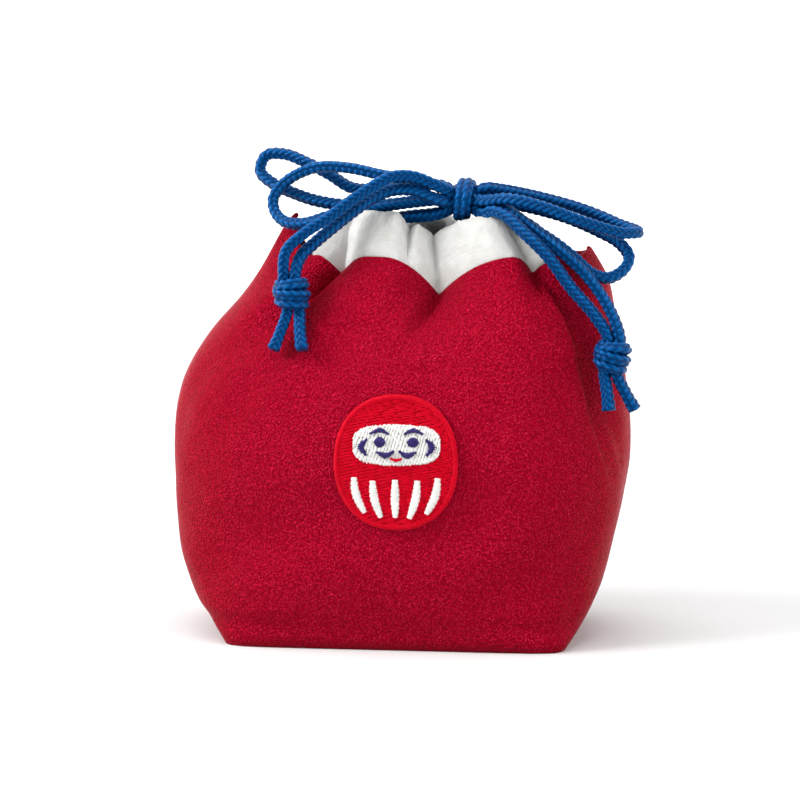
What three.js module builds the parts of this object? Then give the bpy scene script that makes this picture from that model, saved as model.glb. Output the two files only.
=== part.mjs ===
// Drawstring pouch: red crepe body, white gathered cord casings, blue braided cords tied in a bow.
// Millimetres, +Z up. The front faces -Y, and the origin is the middle of the flat base.
import * as THREE from 'three';

const { lerp, clamp, smoothstep } = THREE.MathUtils;

// Driving sizes
const clothWall = 1.6; // red crepe with its lining
const casingWall = 2.2; // white cloth folded double
const casingEdge = 1.2; // the same at its pressed top fold
const contactGap = 0.3; // room left between pieces that touch
const seamGap = 0.65; // the same along the sewn seam of a casing
const badgeGap = 0.5; // the same behind the badge, whose cloth is bowed
const cordDiameter = 4;
const cordSides = 8;
const columns = 80; // facets round the pouch
const casingSplit = 2; // facets of a casing to one of the body
const fineSteps = 720; // steps that measure the way round a section
const probe = 0.003; // share of the way round over which its direction is taken
const foldSpread = 0.6; // how much wider a fold is where it dies out

// Level cuts of the red body: how far each side reaches from the origin, and squareness, where 2 is an oval.
const bodySections = [
  { z: 0, left: 57, right: 57.5, front: 34.5, back: 34.5, square: 8 },
  { z: 1.5, left: 58, right: 58.6, front: 35.6, back: 35.6, square: 7 },
  { z: 7, left: 63, right: 62.8, front: 37, back: 37.2, square: 5 },
  { z: 17, left: 72.4, right: 68.2, front: 38.8, back: 39.2, square: 3.4 },
  { z: 30, left: 76, right: 72, front: 40.2, back: 41, square: 3 },
  { z: 45, left: 77, right: 75.4, front: 41, back: 42, square: 2.8 },
  { z: 60, left: 77.8, right: 77.8, front: 41, back: 42, square: 2.7 },
  { z: 75, left: 77, right: 77.8, front: 40, back: 41.4, square: 2.5 },
  { z: 89, left: 73.4, right: 76.2, front: 37.6, back: 39.2, square: 2.4 },
  { z: 101, left: 66, right: 74, front: 34.2, back: 36, square: 2.3 },
  { z: 112, left: 56.5, right: 71.6, front: 30.4, back: 32.2, square: 2.2 },
  { z: 121, left: 46.5, right: 68.6, front: 26.6, back: 28.4, square: 2.1 },
  { z: 129, left: 36, right: 63.5, front: 22.8, back: 24.5, square: 2 },
];
const seam = bodySections.at(-1);

// The ring that the top folds of the casings follow
const casingTop = { z: 142.5, left: 29.5, right: 52, front: 15, back: 16.2, square: 2 };
const casingLean = 0.045; // rise of the top fold towards the left, for each millimetre

// Gathers: share of the way round from the right side by the back, reach to each side as such a share,
// inward depth and drop at the seam and at the casing's top, and how far below the seam the fold dies out.
// A negative depth or drop stands out or up, as at the ears over the side seams.
const foldColumns = ['at', 'before', 'after', 'depth', 'drop', 'topDepth', 'topDrop', 'reach'];
const folds = [
  [0, 0.06, 0.06, -3, -1, 0, 0, 24], // right ear
  [0.0875, 0.03, 0.05, 6, 6, 5, 4, 50], // back, four gathers
  [0.2, 0.06, 0.05, 9, 11, 8, 6, 46],
  [0.3125, 0.05, 0.06, 8, 9, 8, 6, 42],
  [0.4125, 0.04, 0.03, 6, 6, 5, 4, 50],
  [0.5, 0.05, 0.05, -1, -13, 0, 0, 20], // left ear
  [0.6, 0.03, 0.05, 7, 8, 5, 4, 48], // front, left of the middle
  [0.70625, 0.02, 0.02, 0, 0, 4, 5, 8], // front, the small notch of the casing
  [0.75, 0.08, 0.11, 9, 13, 8, 8, 44], // front, the deep notch
  [0.8875, 0.03, 0.025, 5, 5, 3, 3, 74], // front, the crease on the right
].map((row) => Object.fromEntries(row.map((value, index) => [foldColumns[index], value])));

// Each casing: the part of the way round that it covers
const casings = {
  casing_front: { from: 0.5625, to: 0.9125 },
  casing_back: { from: 0.05625, to: 0.4375 },
};
const casingRows = [0, 0.35, 0.7, 0.93, 1]; // shares of the casing's height
const casingEnd = { from: 0.55, fall: 0.75 }; // where the top fold begins to fall, and by how much of the height

// Embroidered badge on the front
const badge = { x: 2, z: 63.6, halfWidth: 20.8, halfHeight: 22.6, square: 2.2, thick: 1.3, turns: 36 };
const badgeRings = [
  { reach: 0.45, height: 1 },
  { reach: 0.88, height: 1 },
  { reach: 1, height: 0.45 },
];

// Bow: an oval wrap round the bundle of cords, whose faces the cords meet
const bow = { x: 21, y: -2.8, z: 147.2, halfWidth: 4, halfHeight: 7.3, stretch: 1.25, sides: 16 };
const bowProfile = [[0, -1], [0.86, -1], [1, -0.55], [0.93, 0], [1, 0.55], [0.86, 1], [0, 1]];

// Overhand knots on the tails, each with three wraps
const endKnots = {
  end_knot_left: { x: -33.5, y: -28, z: 118, lean: 0.12 },
  end_knot_right: { x: 71.6, y: -23.3, z: 98, lean: -0.1 },
};
const endKnot = { radius: 5.6, halfHeight: 6.6, sides: 12 };
const endKnotProfile = [
  [0, -1], [0.62, -1], [0.92, -0.72], [0.84, -0.36], [1, 0], [0.86, 0.36], [0.9, 0.72], [0.6, 1], [0, 1],
];

// The first straight millimetres of a cord, square to the face it meets: the bow's, or that of an end knot,
// where side 1 is the knot's top and the two cords of a pair lie beside one another.
const straight = 3;
const cordBeside = (cordDiameter + contactGap) / 2;

function fromBow(side, y, z) {
  const face = bow.halfWidth + contactGap;
  return [face, face + straight].map((far) => [bow.x + side * far, y, z]);
}

function fromKnot({ x, y, z, lean }, side, beside) {
  const face = endKnot.halfHeight + contactGap;
  return [face, face + straight].map((far) => [
    x + beside * Math.cos(lean) - side * far * Math.sin(lean),
    y,
    z + beside * Math.sin(lean) + side * far * Math.cos(lean),
  ]);
}

const { end_knot_left: knotLeft, end_knot_right: knotRight } = endKnots;

// Routes of the cords, with the number of steps along each
const cords = {
  lead_left_front: { steps: 6, route: [
    ...fromBow(-1, -5, 142.8), [2, -4.8, 141.2], [-10, -4.4, 139.2], [-19.5, -4.4, 136], [-24.4, -5.8, 132.6],
    [-24.7, -8.5, 132],
  ] },
  lead_left_back: { steps: 6, route: [
    ...fromBow(-1, -0.6, 142.8), [2, 0, 141.2], [-10, 2, 138.8], [-19.5, 4, 135.2], [-25, 6.2, 131.7],
    [-25.4, 8.8, 131.1],
  ] },
  lead_right_front: { steps: 5, route: [
    ...fromBow(1, -0.6, 142.8), [36, -0.8, 140.8], [43, -3.2, 136.4], [47, -7.4, 131.8], [47.5, -10.65, 131],
  ] },
  lead_right_back: { steps: 6, route: [
    ...fromBow(1, 3.8, 142.8), [36, 3.8, 141.6], [46, 4, 137.6], [52.4, 5.8, 132.2], [52.9, 9.05, 131.4],
  ] },
  loop_left_upper: { steps: 16, route: [
    ...fromBow(-1, -0.6, 151.6), [6, 0.2, 151.8], [-6, 1, 150.4], [-17, 2, 150.6], [-25, 4, 155],
    [-33, 6, 158.8], [-41, 8, 161.6], [-47.4, 8.6, 161], [-49.2, 7.6, 155.8], [-44, 5.4, 151.4],
    [-37.6, 3.2, 148.8], [-30, 1.6, 146.4], [-20, 0.2, 144.9], [-9, -0.4, 144.8], [4, -0.6, 146.2],
    ...fromBow(-1, -0.6, 147.2).reverse(),
  ] },
  loop_left_lower: { steps: 16, route: [
    ...fromBow(-1, -5, 151.6), [5, -4.8, 153.6], [-6, -4, 155.2], [-17, -2.4, 157.4], [-27, -1.4, 157.8],
    [-34, -0.8, 155.8], [-40, -0.6, 152], [-43.4, -1.4, 147], [-42.4, -3.4, 142.4], [-38.4, -6.6, 139.4],
    [-31.6, -9.4, 139.2], [-23, -9.8, 141.8], [-12, -8.8, 144], [2, -6.6, 146.2],
    ...fromBow(-1, -5, 147.2).reverse(),
  ] },
  loop_right_upper: { steps: 15, route: [
    ...fromBow(1, -5, 151.6), [33, -2.6, 151.4], [39, 0.4, 150.6], [48, 4, 149.2], [58, 5.8, 147],
    [66, 5.4, 144.2], [73, 3, 140.6], [78.4, -1.4, 138], [79, -6.4, 136.8], [74, -11, 137],
    [66, -13.8, 139.2], [58, -15, 142], [48, -15, 145.6], [37, -13.2, 148], ...fromBow(1, -9.4, 147.2).reverse(),
  ] },
  loop_right_lower: { steps: 16, route: [
    ...fromBow(1, -0.6, 147.2), [35, -2, 146.2], [45, -4, 144.4], [56, -5, 141.4], [66, -5.4, 137.2],
    [73, -6.6, 133.4], [76.4, -9, 129], [75, -11.8, 125.2], [70, -14.2, 122.4], [64.4, -14.8, 123.8],
    [58.6, -14.6, 128.8], [53, -13.8, 133.2], [46, -10.8, 137.4], [37, -6.6, 141.2],
    ...fromBow(1, -5, 142.8).reverse(),
  ] },
  tail_left_front: { steps: 9, route: [
    ...fromBow(-1, -9.4, 151.6), [5, -11.8, 155.2], [-2, -14.5, 155.2], [-8.5, -17.5, 151.8],
    [-14.7, -20.8, 147.6], [-21.8, -24.2, 142.2], [-29.6, -27.4, 137], [-35.2, -28.2, 131.4],
    ...fromKnot(knotLeft, 1, -cordBeside).reverse(),
  ] },
  tail_left_back: { steps: 9, route: [
    ...fromBow(-1, -9.4, 147.2), [5, -10.8, 150.6], [-2, -11.8, 150.6], [-7.5, -13.6, 148.4],
    [-13, -17, 144.8], [-19.8, -20.4, 139.4], [-26.4, -23.6, 133.8], [-30.6, -26.6, 129.4],
    ...fromKnot(knotLeft, 1, cordBeside).reverse(),
  ] },
  tail_right_front: { steps: 8, route: [
    ...fromBow(1, -9.4, 142.8), [31.6, -12.4, 144], [36.4, -16.4, 142.6], [42.4, -20, 137.4], [50, -22, 130.2],
    [58, -22, 119.6], [65.6, -22.6, 111], ...fromKnot(knotRight, 1, -cordBeside).reverse(),
  ] },
  tail_right_back: { steps: 8, route: [
    ...fromBow(1, -5, 147.2), [32, -7, 146.4], [38.4, -11.2, 143], [44.4, -15, 138.6], [53, -18.4, 132.4],
    [63, -19.6, 123.4], [70.6, -21.4, 112.6], ...fromKnot(knotRight, 1, cordBeside).reverse(),
  ] },
  cut_end_left_front: { steps: 2, route: [
    ...fromKnot(knotLeft, -1, -cordBeside), [-37, -31.4, 104.4], [-38.8, -33.6, 99.6],
  ] },
  cut_end_left_back: { steps: 2, route: [
    ...fromKnot(knotLeft, -1, cordBeside), [-30, -32.4, 104.4], [-29, -34.8, 99.8],
  ] },
  cut_end_right_front: { steps: 2, route: [
    ...fromKnot(knotRight, -1, -cordBeside), [70.2, -25.4, 85], [70.8, -26.6, 80],
  ] },
  cut_end_right_back: { steps: 2, route: [
    ...fromKnot(knotRight, -1, cordBeside), [76.4, -23.4, 85], [79.2, -23.2, 80],
  ] },
};

// Colours and finishes
const crepe = new THREE.MeshStandardMaterial({ color: 0xa5102c, roughness: 0.75, metalness: 0 });
const whiteCloth = new THREE.MeshStandardMaterial({ color: 0xe9e9e6, roughness: 0.85, metalness: 0 });
const thread = new THREE.MeshStandardMaterial({ color: 0xcf0a24, roughness: 0.55, metalness: 0 });
const braid = new THREE.MeshStandardMaterial({ color: 0x0d4a91, roughness: 0.65, metalness: 0 });

const pouch = new THREE.Group();

function addPiece(name, geometry, material) {
  const mesh = new THREE.Mesh(geometry, material);
  mesh.name = name;
  pouch.add(mesh);
  return mesh;
}

// One point of an oval or squarish outline, at an angle about its middle
function outlinePoint(section, turn) {
  const across = Math.cos(turn);
  const along = Math.sin(turn);
  const power = 2 / section.square;
  const halfX = (section.right + section.left) / 2;
  const halfY = (section.back + section.front) / 2;
  return new THREE.Vector2(
    section.right - halfX + halfX * Math.sign(across) * Math.abs(across) ** power,
    section.back - halfY + halfY * Math.sign(along) * Math.abs(along) ** power,
  );
}

// The outline as a function of the share of its length, from the right side by the back
function outlineOf(section) {
  const points = [outlinePoint(section, 0)];
  const lengths = [0];
  for (let step = 1; step <= fineSteps; step += 1) {
    points.push(outlinePoint(section, (step / fineSteps) * 2 * Math.PI));
    lengths.push(lengths[step - 1] + points[step].distanceTo(points[step - 1]));
  }
  return (share) => {
    const wanted = (share - Math.floor(share)) * lengths[fineSteps];
    const next = Math.max(1, lengths.findIndex((length) => length >= wanted));
    const part = (wanted - lengths[next - 1]) / (lengths[next] - lengths[next - 1]);
    return points[next - 1].clone().lerp(points[next], part);
  };
}

// How far the gathers draw a point inward and down
function gatherAt(share, z) {
  const above = clamp((z - seam.z) / (casingTop.z - seam.z), 0, 1);
  const drawn = { inward: 0, down: 0 };
  for (const fold of folds) {
    const away = share - fold.at - Math.round(share - fold.at);
    const strength = smoothstep(z, seam.z - fold.reach, seam.z);
    const width = (away < 0 ? fold.before : fold.after) * (1 + foldSpread * (1 - strength));
    const cusp = Math.max(0, 1 - Math.abs(away) / width) ** 2;
    drawn.inward += cusp * strength * lerp(fold.depth, fold.topDepth, above);
    drawn.down += cusp * strength ** 2 * lerp(fold.drop, fold.topDrop, above);
  }
  return drawn;
}

// A gathered ring of points at the given shares of the way round
function gatheredRing(section, shares) {
  const outline = outlineOf(section);
  return shares.map((share) => {
    const point = outline(share);
    const tangent = outline(share + probe).sub(outline(share - probe)).normalize();
    const drawn = gatherAt(share, section.z);
    return new THREE.Vector3(
      point.x - tangent.y * drawn.inward,
      point.y + tangent.x * drawn.inward,
      section.z - drawn.down,
    );
  });
}

// The same ring moved inward by a thickness, on the level
function insetRing(ring, thickness, closed) {
  const last = ring.length - 1;
  return ring.map((point, index) => {
    const before = index > 0 ? ring[index - 1] : ring[closed ? last : 0];
    const after = index < last ? ring[index + 1] : ring[closed ? 0 : last];
    const tangent = new THREE.Vector2(after.x - before.x, after.y - before.y).normalize();
    return new THREE.Vector3(point.x - tangent.y * thickness, point.y + tangent.x * thickness, point.z);
  });
}

// Collects rows of points and the faces between them as one closed mesh
class Skin {
  constructor() {
    this.points = [];
    this.faces = [];
  }

  row(points) {
    const start = this.points.length;
    this.points.push(...points);
    return points.map((point, index) => start + index);
  }

  // Faces between two rows, pointing out when the rows run anticlockwise and upward
  band(lower, upper, closed) {
    const count = closed ? lower.length : lower.length - 1;
    for (let index = 0; index < count; index += 1) {
      const next = (index + 1) % lower.length;
      this.faces.push(lower[index], lower[next], upper[next]);
      this.faces.push(lower[index], upper[next], upper[index]);
    }
  }

  // A level floor inside a ring
  floor(ring, facingUp) {
    const outline = ring.map((index) => new THREE.Vector2(this.points[index].x, this.points[index].y));
    for (const [a, b, c] of THREE.ShapeUtils.triangulateShape(outline, [])) {
      this.faces.push(...(facingUp ? [ring[a], ring[b], ring[c]] : [ring[a], ring[c], ring[b]]));
    }
  }

  geometry() {
    const made = new THREE.BufferGeometry().setFromPoints(this.points);
    made.setIndex(this.faces);
    made.computeVertexNormals();
    return made;
  }
}

const bodyShares = Array.from({ length: columns }, (_, index) => index / columns);
const bodyRings = bodySections.map((section) => gatheredRing(section, bodyShares));
const bodyInsides = bodyRings.slice(1).map((ring) => insetRing(ring, clothWall, true));
bodyInsides[0].forEach((point) => point.setZ(clothWall));

function bodyGeometry() {
  const skin = new Skin();
  const outer = bodyRings.map((ring) => skin.row(ring));
  const inner = bodyInsides.map((ring) => skin.row(ring));
  skin.floor(outer[0], false);
  skin.floor(inner[0], true);
  for (let level = 1; level < outer.length; level += 1) skin.band(outer[level - 1], outer[level], true);
  for (let level = 1; level < inner.length; level += 1) skin.band(inner[level], inner[level - 1], true);
  skin.band(outer.at(-1), inner.at(-1), true);
  return skin.geometry();
}

function blendedSection(low, high, share) {
  return Object.fromEntries(Object.keys(low).map((key) => [key, lerp(low[key], high[key], share)]));
}

// A point just above the straight facets of one of the body's rings, at a whole step of a casing's facets
function onRing(ring, step) {
  const index = Math.floor(step / casingSplit);
  const part = (step % casingSplit) / casingSplit;
  const point = ring[index % columns].clone().lerp(ring[(index + 1) % columns], part);
  point.z += seamGap;
  return point;
}

function casingGeometry({ from, to }) {
  const around = columns * casingSplit;
  const first = Math.round(from * around);
  const count = Math.round(to * around) - first;
  const steps = Array.from({ length: count + 1 }, (_, index) => first + index);
  const foot = steps.map((step) => onRing(bodyRings.at(-1), step));
  const footInside = steps.map((step) => onRing(bodyInsides.at(-1), step));
  const top = gatheredRing(casingTop, steps.map((step) => step / around));
  const middle = (casingTop.right - casingTop.left) / 2;
  top.forEach((point, index) => {
    const outward = Math.abs(2 * (index / count) - 1);
    const fall = casingEnd.fall * smoothstep(outward, casingEnd.from, 1);
    point.z -= casingLean * (point.x - middle);
    point.lerp(foot[index], fall);
  });
  const rows = casingRows.map((height) => foot.map((point, index) => point.clone().lerp(top[index], height)));
  const insides = rows.map((row, level) => {
    if (level === 0) return footInside;
    return insetRing(row, level === rows.length - 1 ? casingEdge : casingWall, false);
  });
  const skin = new Skin();
  const outer = rows.map((row) => skin.row(row));
  const inner = insides.map((row) => skin.row(row));
  for (let level = 1; level < outer.length; level += 1) {
    skin.band(outer[level - 1], outer[level], false);
    skin.band(inner[level], inner[level - 1], false);
  }
  skin.band(outer.at(-1), inner.at(-1), false);
  skin.band(inner[0], outer[0], false);
  const column = (grid, index) => grid.map((row) => row.at(index));
  skin.band(column(outer, 0), column(inner, 0), false);
  skin.band(column(inner, -1), column(outer, -1), false);
  return skin.geometry();
}

// Depth of the body's front face at a place seen from the front
function frontFace(x, z) {
  const above = bodySections.findIndex((section) => section.z >= z);
  const [low, high] = [bodySections[above - 1], bodySections[above]];
  const section = blendedSection(low, high, (z - low.z) / (high.z - low.z));
  const halfX = (section.right + section.left) / 2;
  const halfY = (section.back + section.front) / 2;
  const across = Math.abs((x - section.right + halfX) / halfX);
  return section.back - halfY - halfY * (1 - across ** section.square) ** (1 / section.square);
}

function badgeGeometry() {
  const { turns, thick } = badge;
  const place = (turn, reach, proud) => {
    const across = Math.cos(turn);
    const up = Math.sin(turn);
    const power = 2 / badge.square;
    const x = badge.x + reach * badge.halfWidth * Math.sign(across) * Math.abs(across) ** power;
    const z = badge.z + reach * badge.halfHeight * Math.sign(up) * Math.abs(up) ** power;
    return new THREE.Vector3(x, frontFace(x, z) - badgeGap - proud, z);
  };
  const ring = (reach, proud) => (
    Array.from({ length: turns }, (_, index) => place((index / turns) * 2 * Math.PI, reach, proud))
  );
  const skin = new Skin();
  const fronts = badgeRings.map(({ reach, height }) => skin.row(ring(reach, thick * height)));
  const backs = badgeRings.map(({ reach }) => skin.row(ring(reach, 0)));
  const close = (rim, proud, flip) => {
    const [centre] = skin.row([place(0, 0, proud)]);
    rim.forEach((point, index) => {
      const next = rim[(index + 1) % turns];
      skin.faces.push(...(flip ? [next, point, centre] : [point, next, centre]));
    });
  };
  close(fronts[0], thick, false);
  close(backs[0], 0, true);
  for (let level = 1; level < badgeRings.length; level += 1) {
    skin.band(fronts[level], fronts[level - 1], true);
    skin.band(backs[level - 1], backs[level], true);
  }
  skin.band(backs.at(-1), fronts.at(-1), true);
  return skin.geometry();
}

function turnedGeometry(profile, radius, halfHeight, sides) {
  const points = profile.map(([out, up]) => new THREE.Vector2(out * radius, up * halfHeight));
  return new THREE.LatheGeometry(points, sides);
}

function cordGeometry({ steps, route }) {
  const section = new THREE.Shape(Array.from({ length: cordSides }, (_, index) => {
    const turn = (index / cordSides) * 2 * Math.PI;
    return new THREE.Vector2(Math.cos(turn), Math.sin(turn)).multiplyScalar(cordDiameter / 2);
  }));
  const path = new THREE.CatmullRomCurve3(route.map((point) => new THREE.Vector3(...point)));
  return new THREE.ExtrudeGeometry(section, { steps, extrudePath: path, bevelEnabled: false });
}

addPiece('pouch_body', bodyGeometry(), crepe);
for (const [name, span] of Object.entries(casings)) addPiece(name, casingGeometry(span), whiteCloth);
addPiece('embroidered_badge', badgeGeometry(), thread);

const wrap = addPiece('bow_knot', turnedGeometry(bowProfile, bow.halfHeight, bow.halfWidth, bow.sides), braid);
wrap.position.set(bow.x, bow.y, bow.z);
wrap.rotation.set(0, 0, -Math.PI / 2);
wrap.scale.set(bow.stretch, 1, 1);

for (const [name, { x, y, z, lean }] of Object.entries(endKnots)) {
  const shape = turnedGeometry(endKnotProfile, endKnot.radius, endKnot.halfHeight, endKnot.sides);
  const knot = addPiece(name, shape, braid);
  knot.position.set(x, y, z);
  knot.rotation.set(Math.PI / 2, 0, lean);
}

for (const [name, cord] of Object.entries(cords)) addPiece(name, cordGeometry(cord), braid);

export default pouch;
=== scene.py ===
import bpy
import math
import random
import numpy as np
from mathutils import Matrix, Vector, noise


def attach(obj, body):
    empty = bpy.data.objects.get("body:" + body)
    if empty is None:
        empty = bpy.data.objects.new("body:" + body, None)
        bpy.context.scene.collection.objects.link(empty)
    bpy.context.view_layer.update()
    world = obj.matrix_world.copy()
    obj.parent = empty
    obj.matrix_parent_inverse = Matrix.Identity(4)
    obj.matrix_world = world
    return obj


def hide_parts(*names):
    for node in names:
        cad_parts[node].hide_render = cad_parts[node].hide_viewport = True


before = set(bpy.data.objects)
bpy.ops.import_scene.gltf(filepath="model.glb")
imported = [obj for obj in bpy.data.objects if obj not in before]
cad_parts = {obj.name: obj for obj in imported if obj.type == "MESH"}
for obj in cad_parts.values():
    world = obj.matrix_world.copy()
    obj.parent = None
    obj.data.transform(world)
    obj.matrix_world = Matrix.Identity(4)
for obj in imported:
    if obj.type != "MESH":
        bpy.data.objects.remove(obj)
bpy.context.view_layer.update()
bpy.ops.object.select_all(action="DESELECT")
mm = 0.001
print("frame loaded")


# camera first, at the photograph's angle
view = {"azimuth": 6, "elevation": 8, "distance": 0.85, "target": (-0.0006, 0, 0.0788), "lens": 112.5,
        "sensor": 36, "nearest": 0.01}


def placeCamera():
    turn, rise = math.radians(view["azimuth"]), math.radians(view["elevation"])
    target = Vector(view["target"])
    away = Vector((math.sin(turn) * math.cos(rise), -math.cos(turn) * math.cos(rise), math.sin(rise)))
    bpy.ops.object.camera_add(location=target + away * view["distance"])
    camera = bpy.context.object
    camera.name = "photoCamera"
    camera.rotation_euler = (-away).to_track_quat("-Z", "Y").to_euler()
    camera.data.lens = view["lens"]
    camera.data.sensor_width = view["sensor"]
    camera.data.clip_start = view["nearest"]
    bpy.context.scene.camera = camera
    camera.select_set(False)


placeCamera()
print("camera placed")


# small helpers shared by the pieces
curvePoints = 24  # points to each stretch of a curve


def smoothStep(x, low, high):
    t = np.clip((np.asarray(x, float) - low) / (high - low), 0, 1)
    return t * t * (3 - 2 * t)


def unit(v):
    return v / np.maximum(np.linalg.norm(v, axis=-1, keepdims=True), 1e-12)


def hermite(a, b, leave, reach, t):
    # from a to b, with the slopes that leave a and reach b
    return (a * (2 * t**3 - 3 * t**2 + 1) + leave * (t**3 - 2 * t**2 + t)
            + b * (3 * t**2 - 2 * t**3) + reach * (t**3 - t**2))


def runOf(points):
    # the way along a line of points, from its start
    return np.concatenate([[0], np.cumsum(np.linalg.norm(np.diff(points, axis=0), axis=1))])


def smoothPath(route, step):
    # centripetal curve through the route, in even steps
    points = np.array(route, float)
    padded = np.vstack([2 * points[0] - points[1], points, 2 * points[-1] - points[-2]])
    t = np.linspace(0, 1, curvePoints, endpoint=False)[:, None]
    fine = []
    for i in range(len(points) - 1):
        a, b, c, d = padded[i:i + 4]
        ab, bc, cd = (max(np.linalg.norm(q - p), 1e-9) ** 0.5 for p, q in ((a, b), (b, c), (c, d)))
        leave = ((b - a) / ab - (c - a) / (ab + bc) + (c - b) / bc) * bc
        reach = ((c - b) / bc - (d - b) / (bc + cd) + (d - c) / cd) * bc
        fine.append(hermite(b, c, leave, reach, t))
    fine = np.vstack(fine + [points[-1:]])
    run = runOf(fine)
    at = np.linspace(0, run[-1], int(round(run[-1] / step)) + 1)
    return np.stack([np.interp(at, run, fine[:, k]) for k in range(3)], 1), run[-1]


def pathFrames(path):
    # directions along the path and two across it, carried along without twist
    along = unit(np.gradient(path, axis=0))
    side = np.zeros_like(path)
    first = np.cross(along[0], (0.0, 0.0, 1.0))
    if np.linalg.norm(first) < 0.1:  # the path starts upright
        first = np.cross(along[0], (0.0, 1.0, 0.0))
    side[0] = unit(first)
    for i in range(1, len(path)):
        side[i] = unit(side[i - 1] - along[i] * np.dot(side[i - 1], along[i]))
    return along, side, np.cross(along, side)


def tubeFaces(rings, sides):
    # quads between closed rings, then a fan at either end to the two points that follow them
    row, column = np.meshgrid(np.arange(rings - 1), np.arange(sides), indexing="ij")
    nextColumn = (column + 1) % sides
    faces = np.stack([row * sides + column, row * sides + nextColumn, (row + 1) * sides + nextColumn,
                      (row + 1) * sides + column], -1).reshape(-1, 4).tolist()
    first, foot = rings * sides, (rings - 1) * sides
    for k in range(sides):
        n = (k + 1) % sides
        faces.append([first, n, k])
        faces.append([first + 1, foot + k, foot + n])
    return faces


def addPiece(name, points, faces, materials, uvs=None, values=None, kinds=None):
    # points in metres; uvs one per face corner; values one per point; kinds a material index per face
    mesh = bpy.data.meshes.new(name)
    mesh.from_pydata(np.asarray(points, float).tolist(), [], faces)
    if uvs is not None:
        layer = mesh.uv_layers.new(name="weave")
        layer.data.foreach_set("uv", np.asarray(uvs, np.float32).ravel())
    if values is not None:
        # the height of the plait, read by the braid's colour for its painted shade and highlight
        mark = mesh.attributes.new("lift", "FLOAT", "POINT")
        mark.data.foreach_set("value", np.asarray(values, np.float32))
    for material in materials:
        mesh.materials.append(material)
    if kinds is not None:
        mesh.polygons.foreach_set("material_index", np.asarray(kinds, np.int32))
    mesh.polygons.foreach_set("use_smooth", np.ones(len(mesh.polygons), bool))
    mesh.update()
    piece = bpy.data.objects.new(name, mesh)
    bpy.context.scene.collection.objects.link(piece)
    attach(piece, "root")
    return piece


# materials: a colour ramp over a tone, and relief from a height
def newMaterial(name):
    material = bpy.data.materials.new(name)
    material.use_nodes = True
    nodes, links = material.node_tree.nodes, material.node_tree.links
    return material, nodes, links, nodes["Principled BSDF"]


def addNode(nodes, kind, **settings):
    node = nodes.new(kind)
    for key, value in settings.items():
        if hasattr(node, key):
            setattr(node, key, value)
        else:
            node.inputs[key.replace("_", " ")].default_value = value
    return node


def addMath(nodes, links, operation, first, second):
    node = addNode(nodes, "ShaderNodeMath", operation=operation)
    for socket, value in zip(node.inputs, (first, second)):
        if isinstance(value, (int, float)):
            socket.default_value = value
        else:
            links.new(value, socket)
    return node.outputs[0]


def addSum(nodes, links, *parts):
    # sum of sockets, each with its weight
    total = None
    for socket, weight in parts:
        part = addMath(nodes, links, "MULTIPLY", socket, weight)
        total = part if total is None else addMath(nodes, links, "ADD", total, part)
    return total


def addNoise(nodes, links, place, scale, detail, roughness=0.5):
    node = addNode(nodes, "ShaderNodeTexNoise", Scale=scale, Detail=detail, Roughness=roughness)
    links.new(place, node.inputs["Vector"])
    return node


def dress(made, tone, height, look):
    # colours over the tone, relief from the height, and the shader's plain values
    material, nodes, links, shader = made
    ramp = nodes.new("ShaderNodeValToRGB")
    while len(ramp.color_ramp.elements) < len(look["tones"]):
        ramp.color_ramp.elements.new(0.5)
    for element, (place, colour) in zip(ramp.color_ramp.elements, look["tones"]):
        element.position = place
        element.color = (*colour, 1)
    links.new(tone, ramp.inputs["Fac"])
    links.new(ramp.outputs["Color"], shader.inputs["Base Color"])
    strength, distance = look["relief"]
    bump = addNode(nodes, "ShaderNodeBump", Strength=strength, Distance=distance)
    links.new(height, bump.inputs["Height"])
    links.new(bump.outputs["Normal"], shader.inputs["Normal"])
    for name, value in look["shader"].items():
        shader.inputs[name].default_value = value
    return material


# noises as scale, detail and roughness; relief as strength and distance
crepeLook = {
    "tall": (1, 1, 0.8), "warp": (900, 2), "bend": (0.0009, 0.0009, 0.0007), "pebble": 1580,
    "pebbleBlend": 0.28, "crinkle": (2600, 2, 0.6), "cloud": (60, 3), "grain": (0.75, 0.3), "drift": 0.05,
    # tones over the grain's height: the cloth's own grain, with a painted highlight in the lightest, pinker
    # tone on the pebble tops
    "tones": [(0.42, (0.216, 0.0003, 0.01)), (0.58, (0.276, 0.0006, 0.014)),
              (0.68, (0.33, 0.003, 0.021)), (0.82, (0.425, 0.016, 0.044))],
    "relief": (1, 0.0008),
    # half metallic, for a satin lustre in the cloth's own colour
    "shader": {"Metallic": 0.5, "Roughness": 0.33, "Specular IOR Level": 0.12,
               "Specular Tint": (1, 0.14, 0.22, 1)},
}
whiteLook = {
    "weave": (0.58, 1.2, 0.6), "slub": (900, 4, 0.65), "crush": (210, 4, 0.55), "heights": (0.25, 0.35, 0.9),
    "tones": [(0.35, (0.475, 0.47, 0.45)), (0.75, (0.57, 0.57, 0.56))], "relief": (0.8, 0.0006),
    "shader": {"Roughness": 0.85, "Specular IOR Level": 0.15, "Sheen Weight": 0.05},
}
braidLook = {
    # weights of fibres, cloud and the plait's lift; through the tones the lift gives painted shade in the
    # crevices and a painted highlight on the crowns
    "fibres": (1.6, 16), "cloud": (260, 3), "weights": (0.34, 0.14, 0.62),
    "tones": [(0.18, (0.0001, 0.003, 0.0175)), (0.54, (0.0002, 0.0215, 0.091)),
              (0.8, (0.0006, 0.05, 0.182)), (0.97, (0.007, 0.138, 0.375))],
    "relief": (0.5, 0.00012),
    "shader": {"Roughness": 0.36, "Specular IOR Level": 0.5, "Specular Tint": (0.03, 0.36, 1, 1)},
}
threadLook = {
    "fibres": (0.9, 9), "cloud": (420, 2), "weights": (0.55, 0.45), "stops": (0.3, 0.5, 0.72),
    "relief": (0.4, 0.00008), "shader": {"Roughness": 0.42, "Specular IOR Level": 0.35},
}
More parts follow.
